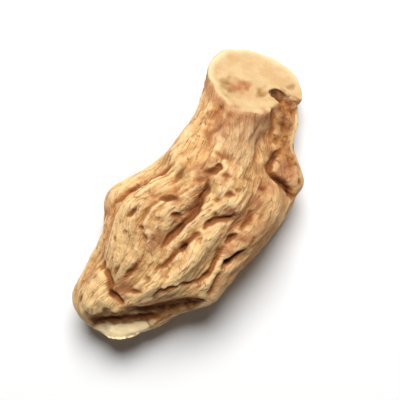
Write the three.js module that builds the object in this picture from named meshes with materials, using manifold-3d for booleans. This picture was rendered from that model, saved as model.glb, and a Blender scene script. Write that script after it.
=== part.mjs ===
// A dried piece of ginger root: one solid that lies on its flattened underside.
//
// +X runs along the root, from its broken tip to its cut end. +Y points to the side of its broad
// shoulder, and +Z is up. The origin is on the surface that the root lies on, under its middle.
// Lengths are in millimetres and angles in degrees.

import * as THREE from "three";
import { mergeVertices } from "three/addons/utils/BufferGeometryUtils.js";
import Module from "manifold-3d";

// ---- Driving dimensions ----

// Sections across the root, from its broken tip to just past its cut end: the place along the root,
// the left and right edges seen from above, the place of the ridge between them, and the heights of
// the crest and the belly.
const SECTIONS = [
  { x: -19.5, left: 3.0, right: 3.0, ridge: 3.0, crest: 4.6, belly: 4.6 },
  { x: -19.0, left: 6.0, right: 0.8, ridge: 4.0, crest: 7.6, belly: 2.6 },
  { x: -16.6, left: 7.9, right: -1.6, ridge: 3.4, crest: 9.7, belly: 1.4 },
  { x: -13.4, left: 8.1, right: -3.6, ridge: 2.4, crest: 10.8, belly: 0.6 },
  { x: -10.4, left: 8.3, right: -6.6, ridge: 1.2, crest: 11.8, belly: 0.1 },
  { x: -7.6, left: 8.8, right: -7.5, ridge: 0.8, crest: 12.6, belly: -0.2 },
  { x: -4.4, left: 9.9, right: -8.1, ridge: 0.9, crest: 13.4, belly: -0.4 },
  { x: -1.2, left: 8.5, right: -9.2, ridge: 0.2, crest: 13.7, belly: -0.5 },
  { x: 2.2, left: 6.3, right: -10.0, ridge: -0.4, crest: 13.4, belly: -0.4 },
  { x: 5.4, left: 5.4, right: -9.8, ridge: 0.0, crest: 12.5, belly: -0.2 },
  { x: 8.6, left: 5.2, right: -8.0, ridge: 1.0, crest: 11.3, belly: 0.1 },
  { x: 12.0, left: 5.7, right: -6.3, ridge: 1.9, crest: 10.5, belly: 0.4 },
  { x: 15.4, left: 6.7, right: -5.0, ridge: 2.0, crest: 10.8, belly: 0.8 },
  { x: 18.6, left: 5.7, right: -4.2, ridge: 1.8, crest: 10.2, belly: 1.4 },
  { x: 21.0, left: 4.4, right: -2.8, ridge: 1.4, crest: 8.6, belly: 3.0 },
  { x: 22.0, left: 1.0, right: 1.0, ridge: 1.0, crest: 6.0, belly: 6.0 },
];
const SIDE_HEIGHT = 0.46;
const SQUARENESS = 2.3;

// Lengthwise folds round the whole root: how many, how deep, and how they turn along it. They fade
// out on the belly, where the root lies, and towards the cut end, where it is full and round.
const FOLDS = [
  { count: 7, depth: 0.34, twist: 0.11, start: 0.6 },
  { count: 12, depth: 0.2, twist: -0.16, start: 2.1 },
];
const FOLDS_END = { from: 9.5, to: 13.5, left: 0.35 };

// Furrows in the upper side, each along a line seen from above.
const FURROWS = [
  { line: [[-18.8, 4.9], [-15.9, 1.2], [-12.9, -1.7], [-10.6, -5.2]], width: 1.3, depth: 1.5 },
  { line: [[1.4, 5.3], [-3.1, 8.3], [-6.0, 8.9]], width: 1.1, depth: 0.8 },
  { line: [[-6.8, 1.4], [-2.6, 0.2], [1.2, -0.2], [3.6, 0.9]], width: 1.1, depth: 0.8 },
  { line: [[-8.6, -0.2], [-5.0, -1.0], [-2.2, -2.2], [-0.2, -3.3]], width: 1.1, depth: 0.8 },
  { line: [[-9.4, -3.6], [-6.2, -4.7], [-1.6, -5.4], [2.4, -6.4]], width: 1.1, depth: 0.8 },
  { line: [[5.6, 1.6], [8.8, 2.7], [11.2, 2.9]], width: 1.1, depth: 0.7 },
  { line: [[5.4, -3.6], [8.2, -3.4], [10.6, -2.6]], width: 1.1, depth: 0.7 },
  { line: [[9.4, -4.7], [12.4, -4.3], [15.6, -4.2]], width: 1.7, depth: 1.8 },
  { line: [[8.6, 6.0], [11.0, 5.6], [12.6, 6.2]], width: 1.6, depth: 0.9 },
  { line: [[-14.6, 3.6], [-12.6, 5.2], [-11.6, 7.2]], width: 1.1, depth: 0.8 },
  { line: [[6.8, -10.4], [5.9, -7.8], [6.9, -5.4], [9.6, -5.0]], width: 1.1, depth: 1.2 },
];
const FURROW_STEPS = 60;

// Folds, furrows and swellings fade out towards the root's middle line from this far off it.
const DETAIL_FADE = 3;

// Swellings of the surface: the knob of a side shoot on the right of the neck, the knuckle behind it,
// the corner of the broad shoulder, and the brow over the broken tip.
const SWELLINGS = [
  { at: [8.1, -8.4, 6.8], height: 1.9, radius: 2.2 },
  { at: [4.0, 2.2, 12.4], height: 0.6, radius: 2.6 },
  { at: [-4.6, 9.4, 6.4], height: 0.3, radius: 2.4 },
  { at: [-10.0, -4.2, 9.6], height: 0.7, radius: 2.6 },
];

// The slanting cut through the neck: a point on it, and its slope up from the level.
const CUT = { at: [14.95, 0.5, 6.7], slope: 46, turn: 4 };

// Dimples in the cut face, where the flesh shrank as it dried, and the small hole that a vessel left.
const HOLLOWS = [
  { along: -1.25, across: 1.75, radius: 2.2, depth: 0.2 },
  { along: -2.1, across: 3.1, radius: 1.6, depth: 0.15 },
  { along: 0.1, across: -2.1, radius: 0.45, depth: 1.1 },
];

// The channel that runs from the hole, through the edge of the face, to the flank below.
const CHANNEL = {
  from: { along: 0.2, across: -2.5, radius: 0.6, depth: 0.6 },
  to: { along: 0.0, across: -5.2, radius: 1.5, depth: 1.9 },
};

// The side of the blocks that take away what is beyond the cut and below the floor.
const BLOCK = 80;

const RINGS_ALONG = 60;
const POINTS_AROUND = 64;
const SKIN = { color: 0xd6a76c, roughness: 0.85, metalness: 0.0 };

// ---- Solids ----

const wasm = await Module();
wasm.setup();

function toSolid(geometry) {
  const bare = geometry.clone();
  bare.deleteAttribute("normal");
  bare.deleteAttribute("uv");
  const merged = mergeVertices(bare, 1e-4);
  const mesh = new wasm.Mesh({
    numProp: 3,
    vertProperties: new Float32Array(merged.attributes.position.array),
    triVerts: new Uint32Array(merged.index.array),
  });
  return new wasm.Manifold(mesh);
}

function toGeometry(solid) {
  const mesh = solid.getMesh();
  const geometry = new THREE.BufferGeometry();
  geometry.setAttribute("position", new THREE.BufferAttribute(mesh.vertProperties, 3));
  geometry.setIndex(new THREE.BufferAttribute(mesh.triVerts, 1));
  geometry.computeVertexNormals();
  return geometry;
}

// ---- The body of the root, lofted along four rails ----

function rail(pointOf) {
  return new THREE.CatmullRomCurve3(SECTIONS.map(pointOf));
}

function sideHeight(section) {
  return THREE.MathUtils.lerp(section.belly, section.crest, SIDE_HEIGHT);
}

function middle(section) {
  return (section.left + section.right) / 2;
}

const rails = {
  left: rail((s) => new THREE.Vector3(s.x, s.left, sideHeight(s))),
  right: rail((s) => new THREE.Vector3(s.x, s.right, sideHeight(s))),
  crest: rail((s) => new THREE.Vector3(s.x, s.ridge, s.crest)),
  belly: rail((s) => new THREE.Vector3(s.x, middle(s), s.belly)),
};

const furrowCurves = FURROWS.map(({ line, width, depth }) => {
  const curve = new THREE.SplineCurve(line.map(([x, y]) => new THREE.Vector2(x, y)));
  return { width, depth, points: curve.getSpacedPoints(FURROW_STEPS) };
});

function furrowDepth(x, y) {
  let depth = 0;
  for (const furrow of furrowCurves) {
    let nearest = Infinity;
    for (const point of furrow.points) {
      nearest = Math.min(nearest, Math.hypot(point.x - x, point.y - y));
    }
    depth += furrow.depth * Math.exp(-((nearest / furrow.width) ** 2));
  }
  return depth;
}

function foldHeight(x, angle) {
  const { smoothstep } = THREE.MathUtils;
  const share = 1 - (1 - FOLDS_END.left) * smoothstep(x, FOLDS_END.from, FOLDS_END.to);
  const belly = smoothstep(-Math.sin(angle), 0.6, 0.95);
  let height = 0;
  for (const fold of FOLDS) {
    height += fold.depth * Math.cos(fold.count * angle + fold.twist * x + fold.start);
  }
  return height * share * (1 - belly);
}

function swellingHeight(point) {
  let height = 0;
  for (const swelling of SWELLINGS) {
    const distance = point.distanceTo(new THREE.Vector3(...swelling.at));
    height += swelling.height * Math.exp(-((distance / swelling.radius) ** 2));
  }
  return height;
}

// A point of the body, at a share of the way along it and an angle round it from the left side.
function bodyPoint(share, angle) {
  const left = rails.left.getPoint(share);
  const right = rails.right.getPoint(share);
  const crest = rails.crest.getPoint(share);
  const belly = rails.belly.getPoint(share);
  const centre = left.clone().add(right).multiplyScalar(0.5);
  const across = Math.cos(angle);
  const up = Math.sin(angle);
  const side = (across > 0 ? left : right).clone().sub(centre);
  const rise = (up > 0 ? crest : belly).clone().sub(centre);
  const bend = 2 / SQUARENESS;
  const offset = side.multiplyScalar(Math.abs(across) ** bend);
  offset.add(rise.multiplyScalar(Math.abs(up) ** bend));
  const radius = offset.length();
  if (radius < 1e-6) {
    return centre;
  }
  const point = centre.clone().add(offset);
  const fade = Math.min(1, radius / DETAIL_FADE);
  const furrow = furrowDepth(point.x, point.y) * THREE.MathUtils.smoothstep(up, 0.1, 0.6);
  const shift = fade * (foldHeight(point.x, angle) + swellingHeight(point) - furrow);
  return centre.addScaledVector(offset, 1 + shift / radius);
}

function bodyGeometry() {
  const geometry = new THREE.SphereGeometry(1, POINTS_AROUND, RINGS_ALONG);
  const position = geometry.attributes.position;
  const direction = new THREE.Vector3();
  for (let i = 0; i < position.count; i += 1) {
    direction.fromBufferAttribute(position, i);
    const share = Math.acos(THREE.MathUtils.clamp(direction.y, -1, 1)) / Math.PI;
    const point = bodyPoint(share, Math.atan2(direction.z, direction.x));
    position.setXYZ(i, point.x, point.y, point.z);
  }
  return geometry;
}

// ---- What is cut from the body ----

// The cut's own frame: its first axis down the slope, its second across it, its third out of the face.
function cutFrame() {
  const frame = new THREE.Object3D();
  frame.rotation.order = "ZYX";
  frame.rotation.y = THREE.MathUtils.degToRad(CUT.slope);
  frame.rotation.z = THREE.MathUtils.degToRad(CUT.turn);
  frame.position.set(...CUT.at);
  frame.updateMatrix();
  return frame.matrix;
}

function cutBlockGeometry() {
  const geometry = new THREE.BoxGeometry(BLOCK, BLOCK, BLOCK);
  geometry.translate(0, 0, BLOCK / 2);
  return geometry.applyMatrix4(cutFrame());
}

function hollowGeometry({ along, across, radius, depth }) {
  const geometry = new THREE.SphereGeometry(radius, 20, 14);
  geometry.translate(along, across, radius - depth);
  return geometry.applyMatrix4(cutFrame());
}

function floorBlockGeometry() {
  const geometry = new THREE.BoxGeometry(BLOCK, BLOCK, BLOCK);
  return geometry.translate(0, 0, -BLOCK / 2);
}

function channelSolid({ from, to }) {
  return wasm.Manifold.hull([toSolid(hollowGeometry(from)), toSolid(hollowGeometry(to))]);
}

function gingerRoot() {
  let solid = toSolid(bodyGeometry()).subtract(toSolid(cutBlockGeometry()));
  for (const hollow of HOLLOWS) {
    solid = solid.subtract(toSolid(hollowGeometry(hollow)));
  }
  solid = solid.subtract(channelSolid(CHANNEL));
  return solid.subtract(toSolid(floorBlockGeometry()));
}

const root = new THREE.Mesh(toGeometry(gingerRoot()), new THREE.MeshStandardMaterial(SKIN));
root.name = "ginger_root";
root.geometry.computeBoundingBox();
const middlePoint = root.geometry.boundingBox.getCenter(new THREE.Vector3());
root.position.set(-middlePoint.x, -middlePoint.y, 0);

const part = new THREE.Group();
part.add(root);

export default part;
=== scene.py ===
import math
from concurrent.futures import ThreadPoolExecutor

import bmesh
import bpy
import numpy as np
import openvdb as vdb
from mathutils import Matrix, Vector


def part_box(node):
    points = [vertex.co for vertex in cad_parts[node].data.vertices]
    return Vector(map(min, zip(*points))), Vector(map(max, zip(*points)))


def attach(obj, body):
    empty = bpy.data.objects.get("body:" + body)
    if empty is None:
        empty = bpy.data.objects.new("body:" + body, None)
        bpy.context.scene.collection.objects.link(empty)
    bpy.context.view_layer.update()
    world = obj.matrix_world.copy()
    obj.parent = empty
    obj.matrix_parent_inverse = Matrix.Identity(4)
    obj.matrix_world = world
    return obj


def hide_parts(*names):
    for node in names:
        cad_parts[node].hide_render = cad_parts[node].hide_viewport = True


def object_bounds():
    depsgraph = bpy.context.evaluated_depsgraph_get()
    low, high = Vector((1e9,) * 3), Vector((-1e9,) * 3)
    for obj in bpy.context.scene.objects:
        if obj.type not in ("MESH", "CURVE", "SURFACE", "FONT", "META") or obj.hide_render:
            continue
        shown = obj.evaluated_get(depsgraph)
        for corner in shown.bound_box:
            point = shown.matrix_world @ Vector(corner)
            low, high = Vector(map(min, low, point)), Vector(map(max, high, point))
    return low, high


# A dried piece of ginger root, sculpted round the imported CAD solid. The form is worked in millimetres on
# a grid of signed distances (negative inside), and then meshed. Places are in the root's frame: +X along
# it to the cut end, +Y to the broad shoulder, +Z up.

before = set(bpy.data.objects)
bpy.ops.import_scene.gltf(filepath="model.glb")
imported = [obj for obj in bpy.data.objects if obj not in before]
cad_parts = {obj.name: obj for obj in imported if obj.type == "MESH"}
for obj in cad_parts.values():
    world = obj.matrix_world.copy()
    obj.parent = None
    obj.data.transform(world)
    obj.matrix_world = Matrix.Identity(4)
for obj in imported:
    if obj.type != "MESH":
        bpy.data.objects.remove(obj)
cad_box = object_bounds()

MM = 0.001
NODE = "ginger_root"

# The grid's spacing, and how far it goes past the root.
CELL = 0.175
MARGIN = 1.5

# How far from the CAD surface its distances are right, how deep inside and how far outside it the form is
# worked, and how far from the finished skin its own distances are right.
BAND = 4.4
DEEP = 4.1
CLEAR = 1.7
SKIN_BAND = 2.4

THREADS = 4
SEED = 11


def smoothstep(value, low, high):
    share = np.clip((value - low) / (high - low), 0.0, 1.0)
    return share * share * (3.0 - 2.0 * share)


def smooth_max(a, b, blend):
    """The larger of a and b, rounded over where they are within blend of each other."""
    near = np.clip(blend - np.abs(a - b), 0.0, None) / blend
    return np.maximum(a, b) + near * near * blend * 0.25


def bell(distance, spread):
    """1 at no distance, and next to nothing from BELL_REACH spreads away."""
    return np.exp(-((distance / spread) ** 2))


BELL_REACH = 2.2


def unit(vectors):
    return vectors / np.maximum(np.linalg.norm(vectors, axis=-1, keepdims=True), 1e-9)


def in_parts(work, points):
    """work(points), with the points shared out over threads."""
    with ThreadPoolExecutor(THREADS) as pool:
        return np.concatenate(list(pool.map(work, np.array_split(points, THREADS))))


def nearest_of(points, path):
    """For each point: the number of the nearest path point, and how far it is."""
    path = path.astype(np.float32)
    lengths = (path**2).sum(1)

    def work(part):
        return (lengths - 2 * (part @ path.T)).argmin(axis=1)

    number = in_parts(work, points.astype(np.float32))
    return number, np.linalg.norm(points - path[number], axis=1)


class Noise:
    """Smooth gradient noise, about -1 to 1, that repeats every SIZE units."""

    SIZE = 32
    GAIN = 1.6

    def __init__(self, seed):
        slopes = np.random.default_rng(seed).normal(size=(self.SIZE**3, 3))
        self.slopes = unit(slopes).astype(np.float32)

    def __call__(self, points):
        return in_parts(self.work, points)

    def work(self, points):
        base = np.floor(points).astype(np.int32)
        local = (points - base).astype(np.float32)
        fade = local**3 * (local * (local * 6 - 15) + 10)
        total = np.zeros(len(points), np.float32)
        for corner in np.ndindex(2, 2, 2):
            cell = (base + np.array(corner, np.int32)) & (self.SIZE - 1)
            slope = self.slopes[(cell[:, 0] * self.SIZE + cell[:, 1]) * self.SIZE + cell[:, 2]]
            weight = np.ones(len(points), np.float32)
            for number, far in enumerate(corner):
                weight *= fade[:, number] if far else 1 - fade[:, number]
            total += weight * np.einsum("ij,ij->i", slope, local - np.array(corner, np.float32))
        return total * self.GAIN


def noise(number, places):
    """One of the sculpture's noises. Each detail has a number of its own."""
    return Noise(SEED + number)(places)


def noise_vector(number, places):
    return np.stack([noise(number + k, places) for k in range(3)], axis=1)


def furrowed(number, grain, along, around, softness):
    """Noise with narrow valleys: its rates along and round the grain, and how soft the valleys are."""
    return np.sqrt(noise(number, grain * (along, around, around)) ** 2 + softness)


class Grid:
    """Evenly spaced sample points in a box round the root, in millimetres."""

    def __init__(self, low, high):
        self.low = np.array(low) - MARGIN
        self.shape = tuple(int(n) for n in np.ceil((np.array(high) + MARGIN - self.low) / CELL) + 1)

    def axis(self, number):
        return self.low[number] + CELL * np.arange(self.shape[number])

    def points(self, flat):
        index = np.stack(np.unravel_index(flat, self.shape), axis=1)
        return (self.low + CELL * index).astype(np.float32)

    def sample(self, values, points):
        """The values between the grid's points, at any points."""
        place = (points - self.low) / CELL
        place = np.clip(place, 0, np.array(self.shape) - 1.001)
        base = place.astype(np.int32)
        share = place - base
        total = np.zeros(len(points), np.float32)
        for corner in np.ndindex(2, 2, 2):
            cell = base + corner
            weight = np.prod(np.where(corner, share, 1 - share), axis=1)
            total += weight * values[cell[:, 0], cell[:, 1], cell[:, 2]]
        return total

    def slope(self, values, points):
        """The unit direction in which values grow fastest at each point."""
        step = np.eye(3, dtype=np.float32) * CELL
        parts = [self.sample(values, points + s) - self.sample(values, points - s) for s in step]
        return unit(np.stack(parts, axis=1))


def blur(values, distance):
    spread = distance / CELL
    reach = math.ceil(2.5 * spread)
    taps = np.exp(-0.5 * (np.arange(-reach, reach + 1) / spread) ** 2)
    taps /= taps.sum()
    for number in range(3):
        padding = [(reach, reach) if n == number else (0, 0) for n in range(3)]
        padded = np.pad(values, padding, mode="edge")
        size = values.shape[number]
        values = sum(
            tap * np.take(padded, range(k, k + size), axis=number).astype(np.float32)
            for k, tap in enumerate(taps)
        )
    return values


def averaged(rows, reach):
    """The rows, each averaged with its neighbours up to reach away."""
    taps = np.hanning(2 * reach + 3)[1:-1]
    padded = np.pad(rows, ((reach, reach), (0, 0)), mode="edge")
    columns = [np.convolve(column, taps / taps.sum(), mode="valid") for column in padded.T]
    return np.stack(columns, axis=1)


# ---- What the CAD solid gives: its distance field, its cut face and its middle line ----


def level_set(points, triangles, quads, grid, reach):
    """Signed distances to a closed mesh, which are right up to reach from its surface."""
    inside = vdb.FloatGrid.createLevelSetFromPolygons(
        (points - grid.low).astype(np.float32),
        triangles=triangles,
        quads=quads,
        transform=vdb.createLinearTransform(voxelSize=CELL),
        halfWidth=reach / CELL,
    )
    values = np.zeros(grid.shape, np.float32)
    inside.copyToArray(values)
    return values


def cad_mesh():
    """The node's mesh with shared corners merged, in millimetres."""
    work = bmesh.new()
    work.from_mesh(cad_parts[NODE].data)
    bmesh.ops.scale(work, vec=Vector((1, 1, 1)) / MM, verts=work.verts)
    bmesh.ops.remove_doubles(work, verts=work.verts, dist=1e-4)
    bmesh.ops.triangulate(work, faces=work.faces)
    work.normal_update()
    return work


def longest_loop(edges):
    loops = []
    left = set(edges)
    while left:
        loop = []
        found = [left.pop()]
        while found:
            edge = found.pop()
            loop.append(edge)
            joined = {near for vert in edge.verts for near in vert.link_edges} & left
            left -= joined
            found.extend(joined)
        loops.append(loop)
    return max(loops, key=lambda loop: sum(edge.calc_length() for edge in loop))


def cut_face(work, facing_down=-0.9, off_plane=0.002):
    """The largest flat face that doesn't look down: its outward normal, and the edges round it."""
    areas = {}
    for face in work.faces:
        if face.normal.z > facing_down:
            key = tuple(round(c, 1) for c in face.normal)
            areas.setdefault(key, []).append(face)
    faces = max(areas.values(), key=lambda group: sum(f.calc_area() for f in group))
    largest = max(faces, key=lambda f: f.calc_area())
    normal = largest.normal
    start = largest.calc_center_median()
    flat = {f for f in work.faces if all(abs((v.co - start).dot(normal)) < off_plane for v in f.verts)}
    edges = {e for f in flat for e in f.edges if not all(near in flat for near in e.link_faces)}
    loop = sorted(longest_loop(edges), key=lambda e: e.index)
    return np.array(normal), np.array([[tuple(v.co) for v in edge.verts] for edge in loop])


class MiddleLine:
    """The line through the middle of the root's sections, with how wide and high they are."""

    LEAST_CELLS = 60
    SMOOTHING = 12
    GRAIN_RADIUS = 6.0

    def __init__(self, values, grid):
        inside = values < 0
        self.x = grid.axis(0)
        counts = inside.sum(axis=(1, 2))
        real = np.nonzero(counts > self.LEAST_CELLS)[0]
        rows = []
        for i in real:
            means, halves = [], []
            for weight, place in ((inside[i].sum(1), grid.axis(1)), (inside[i].sum(0), grid.axis(2))):
                mean = (weight * place).sum() / counts[i]
                means.append(mean)
                halves.append(2 * math.sqrt((weight * (place - mean) ** 2).sum() / counts[i]))
            rows.append(means + halves)
        columns = averaged(np.array(rows), self.SMOOTHING).T
        self.columns = [np.interp(self.x, self.x[real], column) for column in columns]

    def at(self, x):
        """The middle's y and z, and the half width and half height round it."""
        return [np.interp(x, self.x, column) for column in self.columns]

    def angle(self, points):
        y, z, wide, high = self.at(points[:, 0])
        return np.arctan2((points[:, 2] - z) / high, (points[:, 1] - y) / wide)

    def grain(self, points):
        """Places in which straight lines follow the root's flow: along it, and round it."""
        angle = self.angle(points)
        around = (self.GRAIN_RADIUS * np.cos(angle), self.GRAIN_RADIUS * np.sin(angle))
        return np.stack([points[:, 0], *around], axis=1)


# ---- Creases, ridges, pits and swellings, placed one by one ----
#
# The upper side's are lines seen from above, (x, y). A crease is a line, and then how deep, how wide and
# how dark its groove is, what share of it each end takes to fade out, and the depth and spread of the soft
# valley round it. Sculpture.crease has the usual values of the last three.

TOP_CREASES = [
    # neck
    ([(5.7, 1.1), (6.0, 1.9), (6.7, 2.5), (7.5, 2.4), (8.2, 1.9), (9.2, 1.5), (10.8, 1.6)],
     0.08, 0.4, 0.35, 0.3, 0.0),
    ([(9.2, 1.5), (10.2, 1.7), (11.0, 1.5)], 0.08, 0.4, 0.4, 0.5, 0.0),
    ([(8.0, 1.6), (7.7, 0.9), (7.3, 0.3)], 0.15, 0.3, 0.35),
    ([(5.8, 1.5), (5.4, 0.5), (5.6, -0.5), (6.1, -1.5)], 0.15, 0.3, 0.35, 0.3),
    ([(8.4, 3.3), (9.5, 3.1), (10.9, 2.9)], 0.13, 0.3, 0.4),
    ([(10.0, 2.9), (10.4, 2.9), (10.9, 2.8)], 0.12, 0.3, 0.5),
    ([(5.4, 4.4), (7.6, 4.2), (9.8, 4.1)], 0.11, 0.25, 0.15, 0.3),
    ([(8.2, 0.5), (9.6, 0.2), (11.2, 0.5)], 0.1, 0.25, 0.2, 0.4),
    ([(6.6, -1.0), (8.2, -0.9), (9.6, -0.7), (11.0, -0.8)], 0.1, 0.25, 0.2, 0.4),
    ([(7.4, -2.4), (9.0, -1.9), (10.4, -2.1), (11.6, -1.6)], 0.12, 0.3, 0.25, 0.4),
    ([(5.2, -3.6), (6.2, -3.4), (7.6, -3.2), (9.0, -2.8), (10.6, -2.5)], 0.15, 0.3, 0.35, 0.3),
    ([(9.8, -3.9), (11.0, -3.6), (12.2, -3.1), (13.4, -2.3), (13.0, -1.6)], 0.21, 0.35, 0.5, 0.3),
    ([(12.5, -3.6), (12.3, -4.6), (12.2, -5.5)], 0.18, 0.4, 0.8),
    ([(10.0, -4.4), (10.5, -4.5), (10.9, -4.6)], 0.15, 0.35, 0.7),
    # round the knob and across it
    ([(9.8, -5.9), (9.2, -5.3), (8.4, -5.15), (7.5, -5.1), (6.8, -5.4), (6.5, -6.3), (6.3, -7.1),
      (6.15, -7.9), (5.8, -8.7), (5.0, -9.7)], 0.75, 0.4, 1.0, 0.12, 0.4, 0.8),
    ([(9.7, -6.3), (9.2, -6.9), (8.6, -7.7), (7.9, -8.0)], 0.25, 0.3, 0.5, 0.4),
    # knot between the neck and the body
    ([(2.9, 1.4), (3.1, 0.9), (3.5, 0.3), (4.1, -0.1), (4.6, -0.3)], 0.45, 0.4, 0.9, 0.4),
    ([(3.7, -0.6), (3.8, -1.3), (4.1, -2.0)], 0.25, 0.3, 0.55),
    ([(1.7, 1.9), (2.0, 1.1), (2.6, 0.5)], 0.25, 0.35, 0.4),
    ([(0.4, -1.0), (0.9, -1.7), (1.4, -2.2)], 0.2, 0.3, 0.4),
    ([(1.6, -2.0), (2.1, -2.8), (2.4, -3.5)], 0.3, 0.45, 0.6),
    ([(2.9, -2.2), (3.0, -3.2), (3.3, -4.3)], 0.18, 0.25, 0.2),
    ([(4.8, -2.8), (4.6, -3.8), (4.9, -4.8)], 0.2, 0.3, 0.25),
    # body, left
    ([(-5.9, 8.6), (-5.0, 8.5), (-4.0, 8.1), (-2.9, 7.7), (-2.0, 7.0), (-1.2, 6.5), (0.0, 5.8),
      (1.2, 5.0), (2.6, 4.4)], 0.4, 0.36, 0.5, 0.2, 0.25, 0.8),
    ([(-3.7, 8.0), (-2.9, 7.7), (-2.3, 7.2)], 0.15, 0.3, 0.8),
    ([(-5.7, 6.7), (-5.2, 6.2), (-4.6, 6.0), (-3.8, 5.95)], 0.3, 0.3, 0.7, 0.35),
    ([(-6.3, 4.4), (-5.9, 4.3), (-5.4, 4.4)], 0.25, 0.3, 0.65),
    ([(-7.2, 2.9), (-6.8, 3.4), (-6.2, 3.9)], 0.2, 0.25, 0.35),
    ([(-8.7, 6.8), (-8.3, 6.5), (-8.1, 6.2)], 0.18, 0.3, 0.4),
    ([(-7.8, 5.9), (-7.1, 5.7), (-6.6, 5.2)], 0.15, 0.25, 0.2),
    ([(-4.4, 3.9), (-4.1, 3.1), (-4.2, 2.3)], 0.15, 0.25, 0.2),
    ([(-2.2, 4.3), (-1.8, 3.7), (-1.4, 3.1), (-1.1, 2.6), (-0.7, 2.0)], 0.45, 0.34, 0.85, 0.35),
    ([(-2.9, 2.4), (-2.85, 1.7), (-2.6, 1.2), (-2.4, 0.8)], 0.4, 0.34, 0.85, 0.4),
    ([(0.0, 3.7), (1.0, 3.3), (1.9, 3.3), (2.8, 3.1)], 0.25, 0.35, 0.45, 0.4),
    # body, middle
    ([(-7.1, 1.5), (-6.4, 1.2), (-5.0, 0.9), (-3.6, 0.45), (-2.2, 0.0), (-0.9, -0.15), (0.5, -0.1),
      (1.4, -0.15), (2.2, 0.2), (3.0, 0.8)], 0.5, 0.36, 0.8, 0.2, 0.35, 0.8),
    ([(-2.2, 0.05), (-1.4, -0.2), (-0.6, -0.1)], 0.2, 0.35, 0.8),
    ([(0.8, -0.15), (1.5, -0.1), (2.1, 0.2)], 0.2, 0.35, 0.9),
    ([(-9.7, 0.9), (-8.8, 0.4), (-7.8, -0.1), (-6.6, -0.35), (-5.7, -0.6), (-4.8, -1.0), (-3.8, -1.35),
      (-2.9, -1.7)], 0.35, 0.3, 0.6, 0.15, 0.2),
    ([(-6.4, -0.35), (-5.7, -0.6), (-5.2, -0.85), (-4.7, -1.15)], 0.4, 0.36, 1.0, 0.4),
    ([(-2.9, -1.7), (-2.2, -1.9), (-1.5, -2.3), (-1.0, -2.8), (-0.6, -3.6), (-0.3, -4.0), (0.2, -4.2),
      (0.8, -4.0)], 0.6, 0.38, 1.0, 0.25, 0.3, 0.8),
    ([(-1.0, -2.6), (-0.6, -2.4), (-0.2, -2.4)], 0.2, 0.25, 0.5),
    # body, right
    ([(-9.9, -2.0), (-9.4, -2.8), (-8.9, -3.6), (-8.2, -4.2), (-7.4, -4.6), (-6.2, -4.85),
      (-5.0, -4.75), (-4.0, -4.8), (-3.0, -4.9)], 0.35, 0.28, 0.55, 0.15, 0.25, 0.7),
    ([(-8.0, -4.3), (-7.4, -4.6), (-6.8, -4.75)], 0.15, 0.3, 0.7),
    ([(-3.2, -4.6), (-2.5, -5.0), (-1.9, -5.3), (-1.2, -5.5)], 0.5, 0.36, 1.0, 0.4, 0.2),
    ([(-1.2, -5.4), (-0.3, -5.6), (0.5, -5.9), (1.2, -5.8), (1.8, -5.3)], 0.25, 0.4, 0.65, 0.35),
    ([(-9.6, -5.9), (-8.3, -6.1), (-7.2, -6.0), (-5.8, -6.0)], 0.25, 0.28, 0.5, 0.2, 0.2),
    ([(-6.1, -5.9), (-5.2, -5.9), (-4.3, -6.35), (-3.6, -6.75), (-2.8, -7.2), (-2.3, -7.35)],
     0.65, 0.4, 1.0, 0.3, 0.35, 0.8),
    ([(-2.5, -7.3), (-1.5, -7.45), (-0.3, -7.4)], 0.2, 0.3, 0.4),
    ([(3.9, -5.3), (4.5, -5.7), (5.0, -6.2)], 0.3, 0.42, 0.8),
    ([(0.4, -7.0), (1.8, -7.1), (3.0, -6.9)], 0.12, 0.3, 0.2),
    # towards the tip
    ([(-12.3, 3.3), (-11.3, 3.3), (-10.6, 3.0), (-9.9, 2.85), (-9.0, 2.9)], 0.35, 0.34, 0.7, 0.35),
    ([(-13.6, 4.6), (-14.1, 4.1), (-14.4, 3.4), (-14.5, 2.7), (-14.9, 2.0)], 0.45, 0.38, 0.7, 0.3, 0.25),
    ([(-13.4, 2.8), (-12.8, 2.0), (-12.4, 1.3), (-12.1, 0.6)], 0.3, 0.34, 0.6, 0.4),
    ([(-12.7, -0.6), (-11.9, -0.65), (-11.2, -1.0), (-10.6, -1.7), (-9.9, -2.3), (-9.4, -2.9)],
     0.35, 0.32, 0.6, 0.25),
    ([(-17.5, 7.0), (-16.7, 6.8), (-15.8, 6.8)], 0.2, 0.3, 0.5),
    ([(-14.0, 6.6), (-13.5, 6.5), (-13.0, 6.4)], 0.15, 0.35, 0.4),
    ([(-12.6, 4.9), (-11.6, 4.7), (-10.6, 4.6)], 0.2, 0.35, 0.35),
    ([(-12.0, 6.2), (-12.3, 5.5), (-12.7, 5.0), (-13.4, 4.6), (-14.0, 4.2)], 0.32, 0.36, 0.6, 0.2, 0.2),
    ([(-11.2, 1.5), (-10.6, 1.1), (-10.0, 1.0)], 0.12, 0.25, 0.25),
]

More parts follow.
